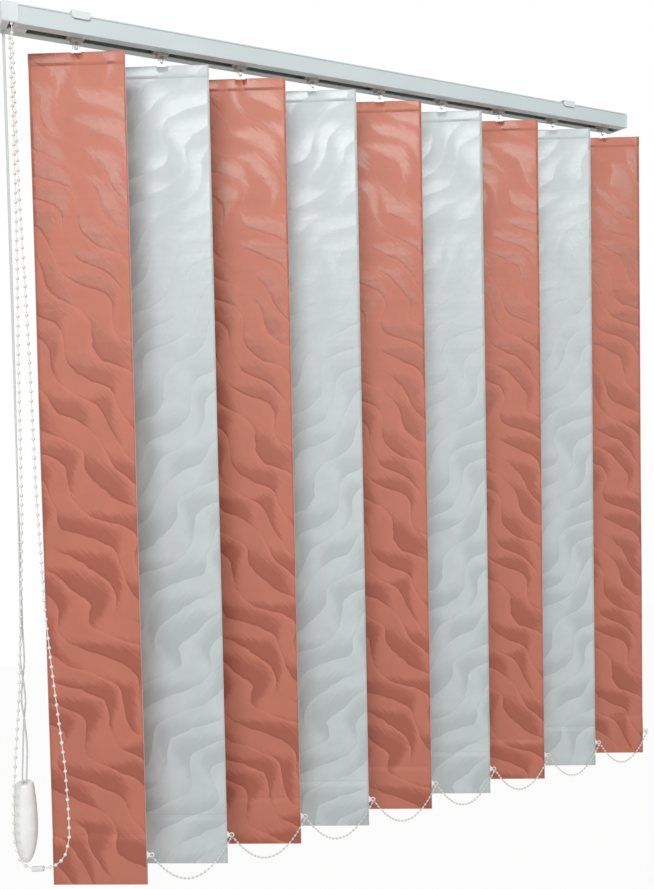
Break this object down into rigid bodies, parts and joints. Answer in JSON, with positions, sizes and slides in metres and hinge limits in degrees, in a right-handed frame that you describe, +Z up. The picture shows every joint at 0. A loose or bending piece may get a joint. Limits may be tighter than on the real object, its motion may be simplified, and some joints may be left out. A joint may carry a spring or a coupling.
{
  "type": "vertical blind",
  "caption": "Ceiling-fixed vertical blind: alternating coral and white cloth vanes on a slotted headrail, tilted by a bead chain and drawn aside by a weighted cord loop.",
  "frame": {"origin": "midway between the screw holes of the two ceiling brackets, in the ceiling plane", "axes": "+X along the rail to the right as seen from the room, -Y towards the room, +Z up to the ceiling"},
  "size_m": [1.0962, 0.0943, 1.1513],
  "materials": {
    "rail_paint": "satin pale paint on extruded aluminium",
    "cap_plastic": "moulded white plastic, slightly glossy",
    "bracket_steel": "white painted spring steel",
    "rod_aluminium": "drawn aluminium",
    "gear_plastic": "moulded low-friction plastic",
    "carrier_plastic": "moulded grey-beige plastic",
    "clear_plastic": "clear moulded plastic",
    "bead_plastic": "white plastic beads on a thread",
    "cord_white": "braided white cord",
    "weight_plastic": "moulded white plastic with a faint seam",
    "coral_cloth": "coral satin jacquard with a flowing tone-on-tone wave",
    "white_cloth": "off-white satin jacquard with a flowing tone-on-tone wave"
  },
  "bodies": {
    "rail": {"headrail": "rail_paint", "control_end_cap": "cap_plastic", "return_end_cap": "cap_plastic", "ceiling_brackets": "bracket_steel", "control_chain": "bead_plastic", "chain_connector": "bead_plastic", "draw_cord": "cord_white", "cord_weight": "weight_plastic", "carrier_1": "carrier_plastic"},
    "tilt_drive": {"tilt_rod": "rod_aluminium", "chain_sprocket": "gear_plastic"},
    "pulley_near": {"control_pulley_near": "gear_plastic"},
    "pulley_far": {"control_pulley_far": "gear_plastic"},
    "pulley_return": {"return_pulley": "gear_plastic"},
    "carrier_2": {"carrier_2": "carrier_plastic"},
    "carrier_3": {"carrier_3": "carrier_plastic"},
    "carrier_4": {"carrier_4": "carrier_plastic"},
    "carrier_5": {"carrier_5": "carrier_plastic"},
    "carrier_6": {"carrier_6": "carrier_plastic"},
    "carrier_7": {"carrier_7": "carrier_plastic"},
    "carrier_8": {"carrier_8": "carrier_plastic"},
    "carrier_9": {"carrier_9": "carrier_plastic"},
    "worm_1": {"worm_1": "gear_plastic"},
    "vane_1": {"stem_1": "clear_plastic", "hanger_1": "clear_plastic", "vane_1": "coral_cloth"},
    "worm_2": {"worm_2": "gear_plastic"},
    "vane_2": {"stem_2": "clear_plastic", "hanger_2": "clear_plastic", "vane_2": "white_cloth"},
    "worm_3": {"worm_3": "gear_plastic"},
    "vane_3": {"stem_3": "clear_plastic", "hanger_3": "clear_plastic", "vane_3": "coral_cloth"},
    "worm_4": {"worm_4": "gear_plastic"},
    "vane_4": {"stem_4": "clear_plastic", "hanger_4": "clear_plastic", "vane_4": "white_cloth"},
    "worm_5": {"worm_5": "gear_plastic"},
    "vane_5": {"stem_5": "clear_plastic", "hanger_5": "clear_plastic", "vane_5": "coral_cloth"},
    "worm_6": {"worm_6": "gear_plastic"},
    "vane_6": {"stem_6": "clear_plastic", "hanger_6": "clear_plastic", "vane_6": "white_cloth"},
    "worm_7": {"worm_7": "gear_plastic"},
    "vane_7": {"stem_7": "clear_plastic", "hanger_7": "clear_plastic", "vane_7": "coral_cloth"},
    "worm_8": {"worm_8": "gear_plastic"},
    "vane_8": {"stem_8": "clear_plastic", "hanger_8": "clear_plastic", "vane_8": "white_cloth"},
    "worm_9": {"worm_9": "gear_plastic"},
    "vane_9": {"stem_9": "clear_plastic", "hanger_9": "clear_plastic", "vane_9": "coral_cloth"},
    "bottom_chain": {"bottom_chain": "bead_plastic"}
  },
  "joints": [
    {"name": "carrier_9_glide", "type": "slide", "parent": "rail", "child": "carrier_9", "axis": [1, 0, 0], "range_m": [-0.736, 0], "deforming": ["bottom_chain"]},
    {"name": "carrier_8_glide", "type": "slide", "parent": "rail", "child": "carrier_8", "axis": [1, 0, 0], "range_m": [-0.644, 0]},
    {"name": "carrier_7_glide", "type": "slide", "parent": "rail", "child": "carrier_7", "axis": [1, 0, 0], "range_m": [-0.552, 0]},
    {"name": "carrier_6_glide", "type": "slide", "parent": "rail", "child": "carrier_6", "axis": [1, 0, 0], "range_m": [-0.46, 0]},
    {"name": "carrier_5_glide", "type": "slide", "parent": "rail", "child": "carrier_5", "axis": [1, 0, 0], "range_m": [-0.368, 0]},
    {"name": "carrier_4_glide", "type": "slide", "parent": "rail", "child": "carrier_4", "axis": [1, 0, 0], "range_m": [-0.276, 0]},
    {"name": "carrier_3_glide", "type": "slide", "parent": "rail", "child": "carrier_3", "axis": [1, 0, 0], "range_m": [-0.184, 0]},
    {"name": "carrier_2_glide", "type": "slide", "parent": "rail", "child": "carrier_2", "axis": [1, 0, 0], "range_m": [-0.092, 0]},
    {"name": "pulley_near_spin", "type": "hinge", "parent": "rail", "child": "pulley_near", "pos_m": [-0.4955, 0.0085, -0.0155], "axis": [0, 1, 0], "continuous": true},
    {"name": "pulley_far_spin", "type": "hinge", "parent": "rail", "child": "pulley_far", "pos_m": [-0.4955, 0.016, -0.0155], "axis": [0, 1, 0], "continuous": true},
    {"name": "pulley_return_spin", "type": "hinge", "parent": "rail", "child": "pulley_return", "pos_m": [0.532, 0.01225, -0.011], "axis": [0, 0, 1], "continuous": true},
    {"name": "vane_1_tilt", "type": "hinge", "parent": "rail", "child": "vane_1", "pos_m": [-0.412, 0, -0.016], "axis": [0, 0, -1], "range_deg": [-18, 138], "deforming": ["control_chain"]},
    {"name": "worm_1_spin", "type": "hinge", "parent": "rail", "child": "worm_1", "pos_m": [-0.412, -0.0095, -0.016], "axis": [1, 0, 0], "range_deg": [-180, 1380]},
    {"name": "vane_2_tilt", "type": "hinge", "parent": "carrier_2", "child": "vane_2", "pos_m": [-0.297, 0, -0.016], "axis": [0, 0, -1], "range_deg": [-18, 138]},
    {"name": "worm_2_spin", "type": "hinge", "parent": "carrier_2", "child": "worm_2", "pos_m": [-0.297, -0.0095, -0.016], "axis": [1, 0, 0], "range_deg": [-180, 1380]},
    {"name": "vane_3_tilt", "type": "hinge", "parent": "carrier_3", "child": "vane_3", "pos_m": [-0.182, 0, -0.016], "axis": [0, 0, -1], "range_deg": [-18, 138]},
    {"name": "worm_3_spin", "type": "hinge", "parent": "carrier_3", "child": "worm_3", "pos_m": [-0.182, -0.0095, -0.016], "axis": [1, 0, 0], "range_deg": [-180, 1380]},
    {"name": "vane_4_tilt", "type": "hinge", "parent": "carrier_4", "child": "vane_4", "pos_m": [-0.067, 0, -0.016], "axis": [0, 0, -1], "range_deg": [-18, 138]},
    {"name": "worm_4_spin", "type": "hinge", "parent": "carrier_4", "child": "worm_4", "pos_m": [-0.067, -0.0095, -0.016], "axis": [1, 0, 0], "range_deg": [-180, 1380]},
    {"name": "vane_5_tilt", "type": "hinge", "parent": "carrier_5", "child": "vane_5", "pos_m": [0.048, 0, -0.016], "axis": [0, 0, -1], "range_deg": [-18, 138]},
    {"name": "worm_5_spin", "type": "hinge", "parent": "carrier_5", "child": "worm_5", "pos_m": [0.048, -0.0095, -0.016], "axis": [1, 0, 0], "range_deg": [-180, 1380]},
    {"name": "vane_6_tilt", "type": "hinge", "parent": "carrier_6", "child": "vane_6", "pos_m": [0.163, 0, -0.016], "axis": [0, 0, -1], "range_deg": [-18, 138]},
    {"name": "worm_6_spin", "type": "hinge", "parent": "carrier_6", "child": "worm_6", "pos_m": [0.163, -0.0095, -0.016], "axis": [1, 0, 0], "range_deg": [-180, 1380]},
    {"name": "vane_7_tilt", "type": "hinge", "parent": "carrier_7", "child": "vane_7", "pos_m": [0.278, 0, -0.016], "axis": [0, 0, -1], "range_deg": [-18, 138]},
    {"name": "worm_7_spin", "type": "hinge", "parent": "carrier_7", "child": "worm_7", "pos_m": [0.278, -0.0095, -0.016], "axis": [1, 0, 0], "range_deg": [-180, 1380]},
    {"name": "vane_8_tilt", "type": "hinge", "parent": "carrier_8", "child": "vane_8", "pos_m": [0.393, 0, -0.016], "axis": [0, 0, -1], "range_deg": [-18, 138]},
    {"name": "worm_8_spin", "type": "hinge", "parent": "carrier_8", "child": "worm_8", "pos_m": [0.393, -0.0095, -0.016], "axis": [1, 0, 0], "range_deg": [-180, 1380]},
    {"name": "vane_9_tilt", "type": "hinge", "parent": "carrier_9", "child": "vane_9", "pos_m": [0.508, 0, -0.016], "axis": [0, 0, -1], "range_deg": [-18, 138]},
    {"name": "worm_9_spin", "type": "hinge", "parent": "carrier_9", "child": "worm_9", "pos_m": [0.508, -0.0095, -0.016], "axis": [1, 0, 0], "range_deg": [-180, 1380]},
    {"name": "rod_spin", "type": "hinge", "parent": "rail", "child": "tilt_drive", "pos_m": [-0.495, -0.0095, -0.016], "axis": [1, 0, 0], "range_deg": [-180, 1380]},
    {"name": "bottom_chain_swing", "type": "hinge", "parent": "vane_1", "child": "bottom_chain", "pos_m": [-0.35138, -0.035, -1.104], "axis": [0, 0, -1], "range_deg": [-138, 18]}
  ],
  "couplings": [
    {"joint": "carrier_8_glide", "follows": "carrier_9_glide", "ratio": 0.875},
    {"joint": "carrier_7_glide", "follows": "carrier_9_glide", "ratio": 0.75},
    {"joint": "carrier_6_glide", "follows": "carrier_9_glide", "ratio": 0.625},
    {"joint": "carrier_5_glide", "follows": "carrier_9_glide", "ratio": 0.5},
    {"joint": "carrier_4_glide", "follows": "carrier_9_glide", "ratio": 0.375},
    {"joint": "carrier_3_glide", "follows": "carrier_9_glide", "ratio": 0.25},
    {"joint": "carrier_2_glide", "follows": "carrier_9_glide", "ratio": 0.125},
    {"joint": "pulley_near_spin", "follows": "carrier_9_glide", "rad_per_m": 222.22},
    {"joint": "pulley_far_spin", "follows": "carrier_9_glide", "rad_per_m": -222.22},
    {"joint": "pulley_return_spin", "follows": "carrier_9_glide", "rad_per_m": 266.67},
    {"joint": "worm_1_spin", "follows": "vane_1_tilt", "ratio": 10},
    {"joint": "vane_2_tilt", "follows": "vane_1_tilt", "ratio": 1},
    {"joint": "worm_2_spin", "follows": "vane_1_tilt", "ratio": 10},
    {"joint": "vane_3_tilt", "follows": "vane_1_tilt", "ratio": 1},
    {"joint": "worm_3_spin", "follows": "vane_1_tilt", "ratio": 10},
    {"joint": "vane_4_tilt", "follows": "vane_1_tilt", "ratio": 1},
    {"joint": "worm_4_spin", "follows": "vane_1_tilt", "ratio": 10},
    {"joint": "vane_5_tilt", "follows": "vane_1_tilt", "ratio": 1},
    {"joint": "worm_5_spin", "follows": "vane_1_tilt", "ratio": 10},
    {"joint": "vane_6_tilt", "follows": "vane_1_tilt", "ratio": 1},
    {"joint": "worm_6_spin", "follows": "vane_1_tilt", "ratio": 10},
    {"joint": "vane_7_tilt", "follows": "vane_1_tilt", "ratio": 1},
    {"joint": "worm_7_spin", "follows": "vane_1_tilt", "ratio": 10},
    {"joint": "vane_8_tilt", "follows": "vane_1_tilt", "ratio": 1},
    {"joint": "worm_8_spin", "follows": "vane_1_tilt", "ratio": 10},
    {"joint": "vane_9_tilt", "follows": "vane_1_tilt", "ratio": 1},
    {"joint": "worm_9_spin", "follows": "vane_1_tilt", "ratio": 10},
    {"joint": "rod_spin", "follows": "vane_1_tilt", "ratio": 10},
    {"joint": "bottom_chain_swing", "follows": "vane_1_tilt", "ratio": -1}
  ]
}
